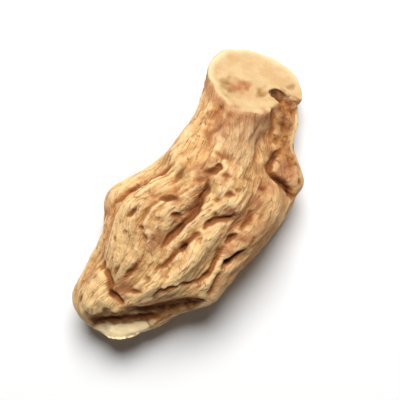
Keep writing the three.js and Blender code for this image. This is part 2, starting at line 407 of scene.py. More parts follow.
TOP_RIDGES = [
    # line, height, spread
    ([(6.0, -4.5), (7.2, -4.1), (8.6, -3.7), (10.0, -3.2)], 0.3, 0.5),
    ([(-5.2, 9.5), (-3.2, 8.9), (-1.4, 7.7), (0.2, 6.8), (1.8, 5.9), (3.8, 5.3), (6.5, 4.9)], 0.3, 0.7),
    ([(-8.2, 0.9), (-6.4, 0.5), (-4.8, 0.0), (-3.2, -0.5), (-1.6, -0.9), (0.0, -0.9)], 0.22, 0.45),
    ([(-3.6, 1.4), (-2.0, 1.1), (-0.4, 0.9), (0.8, 0.9)], 0.2, 0.5),
    ([(-9.0, -1.4), (-7.0, -1.9), (-5.0, -2.6), (-3.4, -3.3), (-2.0, -3.8)], 0.25, 1.2),
    ([(-9.4, -5.2), (-7.4, -5.4), (-5.4, -5.35), (-3.8, -5.8), (-2.4, -6.4), (-1.0, -6.6)], 0.22, 0.4),
    ([(-9.6, -6.6), (-7.6, -6.7), (-5.6, -6.8), (-3.6, -7.7), (-1.6, -8.2)], 0.2, 0.4),
    ([(-12.9, -0.9), (-11.8, -2.0), (-10.9, -2.9), (-10.2, -4.0), (-9.8, -5.4)], 0.3, 0.4),
    ([(-18.3, 6.4), (-17.8, 5.2), (-17.0, 4.2)], 0.2, 0.45),
    ([(-15.6, 5.2), (-15.4, 4.0), (-15.3, 3.1)], 0.3, 0.5),
    ([(-13.6, 0.6), (-12.8, -0.2), (-12.2, -1.0)], 0.2, 0.4),
]

TOP_PITS = [
    # x, y, radius, depth
    (3.8, 0.05, 0.35, 0.35), (4.2, -0.2, 0.4, 0.45), (-12.0, 6.4, 0.6, 0.5), (-16.4, 3.6, 0.4, 0.45),
    (7.4, -9.4, 0.5, 0.22),
]

PIT_DARK = 0.8

# The scar on the knob is a broad shallow hollow.
SCAR = (8.0, -7.3)
SCAR_RADIUS = 2.6
SCAR_DEPTH = 0.4

TOP_SWELLINGS = [
    # x, y, height, radius
    (7.0, 1.6, 0.25, 0.6), (8.9, -0.4, 0.12, 0.8), (6.5, -2.4, 0.15, 0.7), (3.4, -2.0, 0.2, 0.6),
    (2.0, -1.4, 0.2, 0.5), (1.3, 0.8, 0.2, 0.5), (1.2, -3.6, 0.15, 0.6), (2.9, -8.0, 0.3, 2.0),
    (-11.2, 0.6, 0.15, 0.9), (-16.8, 5.4, 0.2, 0.8), (-13.0, 5.8, 0.15, 0.6), (-5.9, 3.3, 0.15, 0.5),
    (-9.6, 3.9, 0.15, 0.5), (-4.3, 7.0, 0.12, 0.7), (-0.4, 4.4, 0.12, 0.8), (7.6, -6.2, 0.15, 0.4),
]

# Lines round the sides and the underside: (x, angle), from 0 on the left through 90 on top and 180 on
# the right to 270 underneath.
SIDE_CREASES = [
    ([(-17, 10), (-13, 4), (-9, 8), (-6, 14)], 0.45, 0.36, 0.7, 0.3, 0.3, 0.8),
    ([(-8, -8), (-4, -4), (0, -10), (4, -4), (8, -8), (12, -4)], 0.55, 0.38, 0.8, 0.2, 0.4, 0.8),
    ([(-15, -24), (-10, -20), (-5, -28), (-1, -24)], 0.6, 0.4, 0.9, 0.3, 0.4, 0.9),
    ([(1, -34), (5, -26), (9, -30), (13, -22)], 0.45, 0.36, 0.7, 0.3, 0.35, 0.8),
    ([(2, 18), (5, 12), (9, 16), (12, 10)], 0.35, 0.32, 0.6, 0.3, 0.25, 0.8),
    ([(-12, -48), (-7, -44), (-2, -52), (3, -46)], 0.45, 0.36, 0.7, 0.3, 0.3, 0.8),
    ([(-7, 178), (-3, 186), (2, 182), (6, 190)], 0.5, 0.36, 0.8, 0.3, 0.35, 0.8),
    ([(-14, 196), (-9, 204), (-4, 198), (1, 206), (5, 200)], 0.6, 0.4, 0.9, 0.25, 0.4, 0.9),
    ([(9, 186), (12, 192), (15, 188), (17, 194)], 0.4, 0.34, 0.7, 0.3, 0.3, 0.8),
    ([(6, 214), (10, 208), (14, 214)], 0.45, 0.36, 0.7, 0.4, 0.35, 0.8),
    ([(-11, 222), (-6, 228), (-1, 222), (4, 230)], 0.45, 0.36, 0.7, 0.3, 0.35, 0.8),
    ([(-16, 262), (-12, 254), (-8, 262), (-4, 256)], 0.35, 0.36, 0.6, 0.3, 0.25, 0.8),
    ([(3, 262), (8, 256), (12, 264), (15, 258)], 0.35, 0.36, 0.6, 0.3, 0.25, 0.8),
    ([(6, 284), (10, 290), (14, 284)], 0.35, 0.36, 0.6, 0.4, 0.25, 0.8),
    ([(-17, 300), (-13, 292), (-9, 300)], 0.35, 0.36, 0.6, 0.4, 0.25, 0.8),
]

# The broken tip: the skin and outer flesh end in a brow along this line. Beyond it, an under lip stands
# out lower down: so much lower than the brow, but no lower than its own edge. It ends LIP_REACH from the
# brow, and LIP_UNDERSIDE up. A deep valley runs along the foot of the brow, and a groove along the lip.
BROW = [(-18.7, 5.6), (-18.0, 4.8), (-17.2, 3.8), (-16.3, 2.7), (-15.4, 2.0), (-14.4, 1.2), (-13.8, 0.2),
        (-13.0, -0.8), (-12.2, -1.8), (-11.2, -2.8), (-10.5, -3.8), (-10.1, -5.0), (-9.8, -6.4)]
BROW_STEP = 1.5
LIP_EDGE = 5.3
LIP_REACH = 6.0
LIP_UNDERSIDE = 2.0
BROW_VALLEY = (
    [(-14.9, 1.9), (-14.6, 1.0), (-14.3, 0.1), (-13.7, -0.8), (-12.9, -1.6), (-12.1, -2.5),
     (-11.2, -3.4), (-10.7, -4.4), (-10.3, -5.4), (-10.0, -6.4)],
    0.6, 0.6, 0.66, 0.12, 0.3, 0.6,
)
LIP_GROOVE = (
    [(-18.7, 4.9), (-18.1, 3.9), (-17.3, 2.7), (-16.6, 1.5), (-15.9, 0.3), (-15.2, -0.8),
     (-14.6, -1.8), (-14.2, -2.6)],
    0.45, 0.55, 0.66, 0.15, 0.25, 0.6,
)

# Where a chip broke off the lip's swollen edge, leaving a pale bench: its line, and half its width.
CHIP = [(-19.2, 3.1), (-18.7, 2.0), (-18.1, 0.9), (-17.5, 0.0), (-16.6, -1.0)]
CHIP_HALF = 0.8

# The lip and the bench slope, so a height above them counts as this share of it in distance.
STEEP = 0.8

# The cut face's shallow dimples, seen from above: x, y, depth, radius.
FACE_DIMPLES = [
    (13.3, 3.6, 0.08, 0.5), (12.9, 3.0, 0.06, 0.5), (13.9, 2.1, 0.12, 0.8), (14.8, 1.7, 0.05, 0.8),
    (14.6, -0.3, 0.05, 0.6), (17.2, -3.1, 0.1, 0.5),
]

# The channel in the cut face, which runs through the hole to the flank, and the pits that widen it: x, y,
# radius, depth, darkness. The last pit is the hole.
FACE_CHANNEL = [(15.2, -1.6), (15.5, -2.4), (15.7, -3.2), (15.8, -4.0)]
FACE_PITS = [
    (*FACE_CHANNEL[2], 0.8, 0.4, 0.6),
    (*FACE_CHANNEL[0], 0.5, 0.5, 1.2),
    (*FACE_CHANNEL[1], 0.9, 1.0, 1.8),
]

# The direction in which the rim of the cut face grows paler, which is the view's upper side where the lamp
# stands: painted light on the rim.
LAMP_SIDE_OF_RIM = (0.88, 0.47, 0.0)

# Patches of another colour on the upper side: how soft their edges are, as a share of the radius, and the
# (x, y, radius) of each. Skin that is rubbed pale, partly painted light, most of all on the tip, which
# faces away from the lamp; flesh that dried pinkish brown or olive, strips of rough cork that the scraping
# left, flesh that was scraped smooth, and flanks painted darker brown, partly brown skin and partly painted
# shade.
PATCHES = {
    # skin rubbed pale, partly painted light, most of all on the tip
    "pale": (0.6, [
        (-16.6, 5.6, 1.4), (-15.3, 4.0, 1.0), (-13.2, 5.9, 1.0), (-10.8, 6.3, 1.5), (-9.4, 5.2, 1.4),
        (-7.6, 6.0, 1.3), (-11.2, 0.8, 1.2), (-9.4, -1.6, 1.4), (-7.8, -2.7, 1.3), (3.2, -7.8, 1.8),
        (-3.6, -3.7, 1.3), (0.6, 6.9, 1.0), (-2.4, 8.7, 1.1), (-17.4, 5.0, 0.9), (-9.3, -5.2, 0.8),
        (-6.4, -6.8, 0.8), (-4.6, 7.2, 1.2), (-17.8, 6.4, 1.2), (-14.4, 5.6, 0.9), (-13.6, 1.6, 0.9),
        (-12.2, 0.4, 1.0), (-10.6, -0.6, 1.1), (-5.4, -3.0, 1.4), (-3.8, 1.2, 0.9), (-1.0, -1.6, 1.0),
        (0.9, -1.0, 0.8), (-0.6, 0.9, 0.7), (-5.2, 0.0, 0.8), (-16.0, 2.6, 0.8), (-15.6, 6.6, 1.0),
        (-12.4, 4.2, 0.8), (-8.0, 1.6, 0.9), (-2.4, -5.8, 0.7),
    ]),
    "blush": (0.6, [
        (3.0, 1.2, 1.0), (1.6, 0.6, 0.8), (0.2, 0.6, 0.8), (-1.4, 0.7, 0.8), (4.6, 0.8, 0.6),
        (9.0, 1.7, 1.1), (7.2, 2.4, 0.7), (10.4, 1.4, 0.9), (5.8, 0.2, 0.5), (-13.0, 3.3, 1.0),
        (-12.2, 3.3, 0.8), (-14.9, 1.6, 0.7), (-5.8, 2.4, 0.9), (7.7, -7.2, 1.2), (8.5, -6.6, 1.0),
        (12.2, -2.2, 0.8), (-3.0, 1.2, 0.8), (0.2, -3.8, 0.7), (-7.4, 2.4, 0.8), (13.8, 2.2, 0.9),
        (14.4, 1.6, 0.6), (15.7, -2.5, 0.5), (0.8, -5.9, 0.7), (4.8, -6.2, 0.9), (2.8, -5.6, 0.7),
        (-3.4, -5.6, 0.6), (-1.6, -6.2, 0.6), (3.8, -1.4, 0.6), (9.4, 3.1, 0.6), (-1.0, 2.4, 0.7),
    ]),
    "olive": (0.6, [
        (13.4, 3.6, 0.7), (12.9, 2.9, 0.6), (14.6, -0.4, 0.6), (17.2, -3.1, 0.6), (3.7, -3.9, 0.9),
        (4.9, -3.3, 0.6), (6.4, -1.9, 0.5), (-8.8, 0.4, 0.6), (-13.5, 6.5, 0.5), (7.4, 0.3, 0.5),
        (10.5, 1.7, 0.4), (1.6, 3.2, 0.8), (-7.6, 4.8, 0.8),
    ]),
    "cork": (0.35, [
        (10.4, -4.5, 0.5), (11.0, -5.2, 0.8), (12.3, -4.7, 0.9), (13.2, -4.2, 0.7), (14.4, -3.8, 1.0),
        (15.0, -2.8, 0.7), (12.4, -3.1, 0.5), (14.6, -4.6, 0.8), (9.8, -5.6, 0.7), (-13.6, -2.3, 1.2),
        (-12.2, -3.2, 1.2), (-11.2, -4.6, 1.1), (-14.8, -0.6, 0.9), (-16.2, 1.0, 0.8), (-17.2, 2.7, 0.8),
        (-18.2, 4.2, 0.7), (5.6, -8.9, 0.6), (9.3, -6.8, 0.6), (15.2, -2.2, 0.5), (15.0, -2.9, 0.6),
        (8.7, -7.6, 0.5),
    ]),
    "scraped": (0.6, [
        (7.0, -1.0, 1.5), (9.0, -1.2, 1.7), (11.0, -1.0, 1.7), (12.4, 0.2, 1.4), (9.6, 0.6, 1.3),
        (7.6, 1.2, 1.2),
    ]),
    # flanks and the knob painted darker brown: partly brown skin, partly painted shade on the flank
    "brown": (0.6, [
        (-7.0, -7.4, 1.8), (-4.4, -8.2, 1.8), (-1.8, -8.6, 1.8), (0.8, -8.4, 1.8), (2.6, -6.6, 1.4),
        (4.4, -8.4, 1.4), (6.8, -8.0, 1.3), (8.4, -7.4, 1.4), (7.0, -9.4, 1.2), (6.6, -4.6, 1.0),
        (8.6, -4.4, 0.9), (10.6, -5.6, 1.2), (-2.2, -6.4, 1.0), (0.4, -5.0, 0.9), (5.0, -5.4, 0.9),
        (7.6, -7.0, 1.2), (8.2, -6.2, 0.9), (9.2, -7.2, 1.0), (12.4, -4.6, 1.2), (14.0, -4.2, 1.0),
    ]),
}


def along_path(places, spacing=0.12, steps_between=24):
    """A smooth line through the places, with points evenly spaced along it."""
    places = np.asarray(places, float)
    padded = np.vstack([2 * places[0] - places[1], places, 2 * places[-1] - places[-2]])
    pieces = []
    for k in range(len(places) - 1):
        a, b, c, d = padded[k : k + 4]
        t = np.linspace(0, 1, steps_between, endpoint=False)[:, None]
        pieces.append(0.5 * (2 * b + (c - a) * t + (2 * a - 5 * b + 4 * c - d) * t**2
                             + (3 * b - a - 3 * c + d) * t**3))
    dense = np.vstack(pieces + [places[-1:]])
    steps = np.linalg.norm(np.diff(dense, axis=0), axis=1)
    travelled = np.concatenate([[0], np.cumsum(steps)])
    wanted = np.linspace(0, travelled[-1], max(4, int(travelled[-1] / spacing)))
    return np.stack([np.interp(wanted, travelled, column) for column in dense.T], axis=1)


def share_along(path, nearest):
    """How far along the path, from 0 to 1, each point's nearest path point is."""
    return np.linspace(0, 1, len(path))[nearest]


def taper(path, nearest, ends):
    """1 along most of the path, fading to 0 over a share of it at each end."""
    share = share_along(path, nearest)
    return np.clip(np.minimum(share, 1 - share) / ends, 0, 1)


def beside(points, path):
    """Seen from above, for each point: the nearest path point, and how far past it and right of it."""
    nearest, _ = nearest_of(points[:, :2], path[:, :2])
    tangent = unit(np.gradient(path[:, :2], axis=0))[nearest]
    offset = points[:, :2] - path[nearest, :2]
    along = (offset * tangent).sum(1)
    right = offset[:, 0] * tangent[:, 1] - offset[:, 1] * tangent[:, 0]
    return nearest, along, right


class Sculpture:
    """The root's form as signed distances near its surface."""

    def __init__(self):
        low, high = (np.array(corner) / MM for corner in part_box(NODE))
        self.grid = Grid(low, high)
        work = cad_mesh()
        self.cut_normal, self.rim_edges = cut_face(work)
        steps = np.linspace(0, 1, 12)[:, None, None]
        self.rim = (self.rim_edges[:, 0] * (1 - steps) + self.rim_edges[:, 1] * steps).reshape(-1, 3)
        self.cut_middle = self.rim.mean(0)
        points = np.array([v.co for v in work.verts])
        triangles = np.array([[v.index for v in f.verts] for f in work.faces], np.uint32)
        exact = level_set(points, triangles, None, self.grid, BAND)
        self.middle = MiddleLine(exact, self.grid)
        self.band = np.nonzero(((exact > -DEEP) & (exact < CLEAR)).ravel())[0]
        self.points = self.grid.points(self.band)
        # the CAD solid's facets are smoothed away, but for the cut's edge
        sharp = exact.ravel()[self.band]
        smooth = blur(exact, 0.5).ravel()[self.band]
        share = smoothstep(np.abs(self.off_cut(self.points)), 0.3, 1.6)
        self.values = sharp + (smooth - sharp) * share
        self.stain = np.zeros(len(sharp), np.float32)
        self.base = exact.copy()
        self.keep()

    def keep(self):
        """Makes the form so far the base, which later details start from."""
        self.base.ravel()[self.band] = self.values

    def off_cut(self, points):
        """How far out of the plane of the cut each point is."""
        return (points - self.cut_middle) @ self.cut_normal

    def top_point(self, places, lowest=4.5):
        """The upper surface's points over places seen from above, or lowest beside the root."""
        x, y = places[:, 0], places[:, 1]
        found = np.full(len(places), np.nan)
        above = None
        for z in self.grid.axis(2)[::-1]:
            here = self.grid.sample(self.base, np.stack([x, y, np.full_like(x, z)], axis=1))
            if above is not None:
                crossing = np.isnan(found) & (here < 0)
                share = above / np.maximum(above - here, 1e-6)
                found[crossing] = (z + CELL * (1 - share))[crossing]
            above = here
        found[np.isnan(found)] = lowest
        return np.stack([x, y, found], axis=1)

    def top_line(self, line):
        return self.top_point(along_path(line))

    def top_place(self, x, y):
        return self.top_point(np.array([[x, y]]))[0]

    def side_line(self, line, step=0.08, steps=160):
        """The surface's points on a line of places along the root and angles round it."""
        places = along_path(line)
        x, angle = places[:, 0], np.radians(places[:, 1])
        y, z, wide, high = self.middle.at(x)
        direction = unit(np.stack([np.zeros_like(x), wide * np.cos(angle), high * np.sin(angle)], axis=1))
        start = np.stack([x, y, z], axis=1)
        reach = np.zeros(len(x))
        for _ in range(steps):
            inside = self.grid.sample(self.base, start + direction * reach[:, None]) < 0
            reach[inside] += step
        return start + direction * reach[:, None]

    def near(self, centre_points, reach):
        """Which band points, which are in order of x, lie in the box round some points."""
        low, high = centre_points.min(0) - reach, centre_points.max(0) + reach
        first, last = np.searchsorted(self.points[:, 0], (low[0], high[0]))
        rest = self.points[first:last, 1:]
        inside = (rest > low[1:].astype(np.float32)) & (rest < high[1:].astype(np.float32))
        return first + np.nonzero(inside[:, 0] & inside[:, 1])[0]

    def local(self, path, points):
        """For each point: the nearest path point, and how far along, across and below it."""
        nearest, _ = nearest_of(points, path)
        tangent = unit(np.gradient(path, axis=0))
        inward = -self.grid.slope(self.base, path)
        inward = unit(inward - tangent * (inward * tangent).sum(1, keepdims=True))
        left = unit(np.cross(tangent, inward))
        offset = points - path[nearest]
        return nearest, *((offset * axis[nearest]).sum(1) for axis in (tangent, left, inward))

    def darken(self, chosen, dark):
        self.stain[chosen] = np.maximum(self.stain[chosen], dark)

    def crease(self, path, depth, width, dark, ends=0.5, soft=0.12, spread=0.6):
        """A cusped groove between slightly raised lips, with a soft valley round it."""
        path = averaged(path, 5)
        chosen = self.near(path, BELL_REACH * spread + depth)
        points = self.points[chosen]
        nearest, along, across, below = self.local(path, points)
        fade = taper(path, nearest, ends)
        aside = np.hypot(along, across + 0.2 * noise(40, points * 1.1))
        above = np.hypot(aside, np.minimum(below, 0))
        wide = 0.64 * width * (0.4 + 0.6 * fade)
        uneven = 1 + 0.3 * noise(41, points * 0.8)
        valley = soft * bell(above, spread)
        groove = 0.9 * depth * uneven * np.exp(-((aside / wide) ** 1.3))
        lips = 0.1 * depth * bell(above - 2.2 * wide, wide)
        self.values[chosen] += (valley + groove - lips) * fade
        self.darken(chosen, dark * np.sqrt(fade) * bell(aside, 1.15 * wide + 0.07))

    def ridge(self, path, height, spread):
        chosen = self.near(path, BELL_REACH * spread)
        nearest, distance = nearest_of(self.points[chosen], path)
        fade = taper(path, nearest, 0.25)
        self.values[chosen] -= height * fade * bell(distance, spread)

    def pit(self, centre, radius, depth, dark=0.0):
        """A hollow part of a ball, with a ragged wall."""
        inward = -self.grid.slope(self.base, centre[None])[0]
        chosen = self.near(centre[None], radius + depth + 0.4)
        points = self.points[chosen]
        ball = np.linalg.norm(points - (centre + inward * (depth - radius)), axis=1) - radius
        ball += 0.22 * noise(42, points * 1.6)
        self.values[chosen] = smooth_max(self.values[chosen], -ball, 0.3)
        self.darken(chosen, dark * smoothstep(ball, 0.12, -0.12))

    def swelling(self, centre, height, radius):
        chosen = self.near(centre[None], BELL_REACH * radius)
        distance = np.linalg.norm(self.points[chosen] - centre, axis=1)
        self.values[chosen] -= height * bell(distance, radius)

    def wrinkles(self):
        """Folds and fine creases that run along the root, all the way round."""
        chosen = np.nonzero(np.abs(self.values) < 1.4)[0]
        points = self.points[chosen]
        bend = noise_vector(0, points * 0.22)
        ripple = noise_vector(5, points * 0.8)
        grain = self.middle.grain(points + 0.6 * bend + 0.12 * ripple)
        # more of them on the lower side, and less on the neck, the tip and in calm stretches
        lower = smoothstep(-np.sin(self.middle.angle(points)), -0.5, 0.1)
        neck = (1 - lower) * smoothstep(points[:, 0], 4.5, 7.0)
        tip = smoothstep(points[:, 0], -15.5, -19.0)
        calm = 0.55 + 0.45 * smoothstep(noise(9, points * 0.16 + 3.7), -0.3, 0.3)
        calm = calm * (1 - 0.55 * neck)
        # from the broadest to the finest
        shift = (0.15 + 0.75 * lower) * (furrowed(10, grain, 0.06, 0.30, 0.004) - 0.28)
        shift += (0.26 + 0.60 * lower) * calm * (furrowed(11, grain, 0.11, 0.66, 0.0016) - 0.28)
        fine = 0.27 * calm * (furrowed(12, grain, 0.25, 1.6, 0.0006) - 0.26)
        thread = 0.15 * (1 - 0.4 * neck) * (furrowed(16, grain, 0.4, 2.6, 0.0006) - 0.26)
        shift += fine + thread
        lumps = 0.09 * noise(13, points * 0.55)
        pebbles = 0.04 * noise(15, points * 1.15)
        shift += lumps + pebbles + 0.04 * noise(14, points * 2.3) + 0.05
        inside_cut = smoothstep(-self.off_cut(points), 0.0, 2.0)
        self.values[chosen] -= shift * (0.3 + 0.7 * inside_cut) * (1 - 0.65 * tip)

    def lower_lip(self):
        """The step down from the broken edge of the skin to the under lip of the tip."""
        path = self.top_line(BROW)
        chosen = self.near(path, LIP_REACH)
        chosen = chosen[self.points[chosen, 2] > LIP_UNDERSIDE]
        points = self.points[chosen]
        nearest, _, beyond = beside(points, path)
        share = share_along(path, nearest)
        ends = smoothstep(share, -0.02, 0.1) * smoothstep(share, 1.02, 0.85)
        step = BROW_STEP * smoothstep(beyond, -0.15, 0.6) * ends
        column = ((points[:, :2] - self.grid.low[:2]) / CELL).round().astype(int)
        top = self.top_heights()[column[:, 0], column[:, 1]]
        shelf = np.maximum(top - step, np.minimum(LIP_EDGE, top))
        cut = smooth_max(self.values[chosen], STEEP * (points[:, 2] - shelf), 0.2)
        self.values[chosen] = np.where((step > 0) & (top > 0), cut, self.values[chosen])
        self.keep()

    def top_heights(self):
        """The height of the upper surface over each grid place, or 0 beside the root."""
        inside = self.base < 0
        first = inside.shape[2] - 1 - np.argmax(inside[:, :, ::-1], axis=2)
        return np.where(inside.any(axis=2), self.grid.low[2] + CELL * (first + 0.5), 0.0)

    def chip(self):
        """The pale bench where a chip broke off the swollen edge of the lip."""
        path = self.top_line(CHIP)
        self.ridge(path, 0.6, 0.8)
        chosen = self.near(path, 2.5)
        points = self.points[chosen]
        nearest, along, beyond = beside(points, path)
        share = share_along(path, nearest)
        ends = smoothstep(np.minimum(share, 1 - share), 0.0, 0.3)
        bench = path[nearest, 2] - 0.25 + 0.45 * ends + 0.25 * np.clip(beyond, -CHIP_HALF, CHIP_HALF)
        bench += 0.3 * noise(22, points * 0.6) + 0.12 * noise(23, points * 1.8)
        # beyond its half width the bench ends in a wall, but only on the root's side
        short = np.hypot(along, np.clip(beyond, None, 0))
        above = points[:, 2] - bench - 1.2 * np.clip(short - CHIP_HALF, 0, None)
        self.values[chosen] = smooth_max(self.values[chosen], STEEP * above, 0.25)
        self.chip_path = path

    def within_rim(self, points):
        """How far inside the rim of the cut face each point lies, seen square to the face."""
        across = unit(np.cross(self.cut_normal, (0.0, 1.0, 0.0)))
        axes = np.stack([across, np.cross(self.cut_normal, across)], axis=1)
        x, y = (points @ axes).T
        crossings = np.zeros(len(points), int)
        for (x0, y0), (x1, y1) in self.rim_edges @ axes:
            level = (y >= min(y0, y1)) & (y < max(y0, y1))
            share = (y - y0) / (y1 - y0 if y1 != y0 else 1.0)
            crossings += level & (x < x0 + share * (x1 - x0))
        _, distance = nearest_of(points @ axes, self.rim @ axes)
        return np.where(crossings % 2 == 1, distance, -distance)

    def cut(self):
        """The cut face: flesh that sank inside a firm rim, with hollows."""
        off = self.off_cut(self.points)
        chosen = np.nonzero(np.abs(off) < 2.0)[0]
        points = self.points[chosen]
        _, to_rim = nearest_of(points, self.rim)
        sink = 0.34 * smoothstep(to_rim, 0.3, 1.4) + 0.07 * noise(20, points * 0.5)
        sink += 0.02 * noise(21, points * 1.6) + 0.10 * (1 - smoothstep(to_rim, 0.0, 0.35))
        channel = np.array([self.on_face(x, y) for x, y in along_path(FACE_CHANNEL)])
        _, aside = nearest_of(points, channel)
        ragged = 0.35 * noise(24, points) + 0.3 * noise(26, points * 2.2)
        self.values[chosen] += ragged * bell(aside, 1.3)
        self.values[chosen] = smooth_max(self.values[chosen], off[chosen] + sink, 0.22)
        for x, y, depth, radius in FACE_DIMPLES:
            self.swelling(self.on_face(x, y), -depth, radius)
        for x, y, radius, depth, dark in FACE_PITS:
            self.pit(self.on_face(x, y), radius, depth, dark)

    def on_face(self, x, y, sunk=0.3):
        """The point of the sunken cut face below a place seen from above."""
        rise = (self.cut_middle[:2] - (x, y)) @ self.cut_normal[:2] / self.cut_normal[2]
        return np.array([x, y, self.cut_middle[2] + rise]) - self.cut_normal * sunk

    def settle(self):
        """The flattened patch that the root lies on."""
        self.values = smooth_max(self.values, -self.points[:, 2], 0.12)

    def sculpt(self):
        """The finished form and its stains, on the whole grid."""
        self.lower_lip()
        self.wrinkles()
        self.pit(self.top_place(*SCAR), SCAR_RADIUS, SCAR_DEPTH)
        for x, y, height, radius in TOP_SWELLINGS:
            self.swelling(self.top_place(x, y), height, radius)
        for line, height, spread in TOP_RIDGES:
            self.ridge(self.top_line(line), height, spread)
        for line, *shape in TOP_CREASES + [BROW_VALLEY, LIP_GROOVE]:
            self.crease(self.top_line(line), *shape)
        for x, y, radius, depth in TOP_PITS:
            self.pit(self.top_place(x, y), radius, depth, PIT_DARK)
        for line, *shape in SIDE_CREASES:
            self.crease(self.side_line(line), *shape)
        self.chip()
        self.cut()
        self.settle()
        self.keep()
        stain = np.zeros_like(self.base)
        stain.ravel()[self.band] = self.stain
        return self.base, stain


def mesh_of(field, grid, ahead=0.1, farthest=0.1):
    """Points and quads of the zero surface, facing out, with the points drawn onto it."""
    volume = vdb.FloatGrid(float(BAND))
    volume.copyFromArray(np.ascontiguousarray(field))
    points, quads = volume.convertToQuads(0.0)
    points = points.astype(np.float64) * CELL + grid.low
    a, b, c, d = (points[quads[:, k]] for k in range(4))
    swept = np.einsum("ij,ij->", np.cross(a, b), c) + np.einsum("ij,ij->", np.cross(a, c), d)
    if swept < 0:
        quads = quads[:, ::-1]
    for _ in range(2):
        slope = grid.slope(field, points)
        height = grid.sample(field, points)
        growth = (grid.sample(field, points + slope * ahead) - height) / ahead
        to_surface = height / np.maximum(growth, 0.4)
        points = points - slope * np.clip(to_surface, -farthest, farthest)[:, None]
    return points, quads


class Skin:
    """The finished surface, and what it is like at each of its points."""

    def __init__(self, sculpture):
        field, self.stain = sculpture.sculpt()
        self.sculpture = sculpture
        self.points, self.quads = mesh_of(field, sculpture.grid)
        self.exact = level_set(self.points, None, self.quads.astype(np.uint32), sculpture.grid, SKIN_BAND)
        self.slope = sculpture.grid.slope(blur(self.exact, 0.12), self.points)

    def painted_shade_openness(self):
        """How far the surface is from its own folds, from 0 deep in a crevice to 1 on open skin, which sets
        the painted shade in crevices.
        """
        total = np.zeros(len(self.points))
        for reach, weight in ((0.35, 0.3), (0.7, 0.3), (1.3, 0.25), (2.0, 0.15)):
            clear = self.sculpture.grid.sample(self.exact, self.points + self.slope * reach) / reach
            total += weight * np.clip(clear, 0, 1)
        return total

    def patches(self, places, soft):
        """1 inside patches of the upper side, 0 away from them, with ragged and more or less soft edges."""
        ragged = self.points + 0.5 * noise_vector(30, self.points * 0.9)
        total = np.zeros(len(self.points))
        for x, y, radius in places:
            distance = np.hypot(ragged[:, 0] - x, ragged[:, 1] - y)
            total = np.maximum(total, smoothstep(distance, (1 + soft) * radius, (1 - soft) * radius))
        return total * smoothstep(self.slope[:, 2], -0.1, 0.3)

    def on_chip(self):
        """1 on the bench and the wall of the chip, 0 away from them."""
        _, along, right = beside(self.points, self.sculpture.chip_path)
        distance = np.hypot(along, np.where(right > 0, 0.4, 1.0) * right)
        distance += 0.2 * noise(25, self.points * 1.3)
        upward = smoothstep(self.slope[:, 2], -0.3, 0.1)
        return smoothstep(distance, CHIP_HALF + 0.3, CHIP_HALF - 0.1) * upward

    def marks(self):
        """What the material follows at each point, by name."""
        sculpture, sample = self.sculpture, self.sculpture.grid.sample
        off_cut = sculpture.off_cut(self.points)
        within = sculpture.within_rim(self.points)
        facing = smoothstep(self.slope @ sculpture.cut_normal, 0.0, 0.3)
        on_cut = smoothstep(within, -0.05, 0.2) * smoothstep(off_cut, -2.2, -1.6) * facing
        on_chip = self.on_chip()
        # the rim is pale flesh with painted light on the lamp's side, away from the knob, and has a gap at
        # the channel
        _, to_channel = nearest_of(self.points[:, :2], along_path(FACE_CHANNEL))
        lamp_side = smoothstep((self.points - sculpture.cut_middle) @ LAMP_SIDE_OF_RIM, -1.5, 2.5)
        on_rim = on_cut * smoothstep(within, 1.3, 0.1) * smoothstep(to_channel, 0.6, 1.6)
        on_rim = on_rim * (0.1 + 0.5 * lamp_side)
        # the skin just below the cut's rim, which the material makes pinkish brown
        under_rim = (1 - on_cut) * smoothstep(within, -1.6, -0.1) * smoothstep(off_cut, -3.0, -0.5)
        marks = {
            # how far each point stands out of its blurred surroundings: it sets pale rubbing with painted
            # highlight on high places, and brown skin with painted shade in low ones
            "ridge": sample(blur(self.exact, 0.35), self.points),
            "stain": sample(self.stain, self.points),
            "grain": sculpture.middle.grain(self.points),
            # sets the painted shade in crevices, which is kept off the chip
            "painted_shade_openness": np.maximum(self.painted_shade_openness(), 0.8 * on_chip),
            "cut": np.maximum(on_cut, on_chip),
            "rim": np.maximum(on_rim, 0.9 * on_chip),
            "under_rim": under_rim,
        }
        marks.update((name, self.patches(places, soft)) for name, (soft, places) in PATCHES.items())
        return marks


# ---- Materials ----


def linear(red, green, blue):
    """A colour given as it shows on a screen, 0 to 255, in the linear values that shaders take."""
    shares = [c / 255 for c in (red, green, blue)]
    return [c / 12.92 if c <= 0.04045 else ((c + 0.055) / 1.055) ** 2.4 for c in shares] + [1.0]


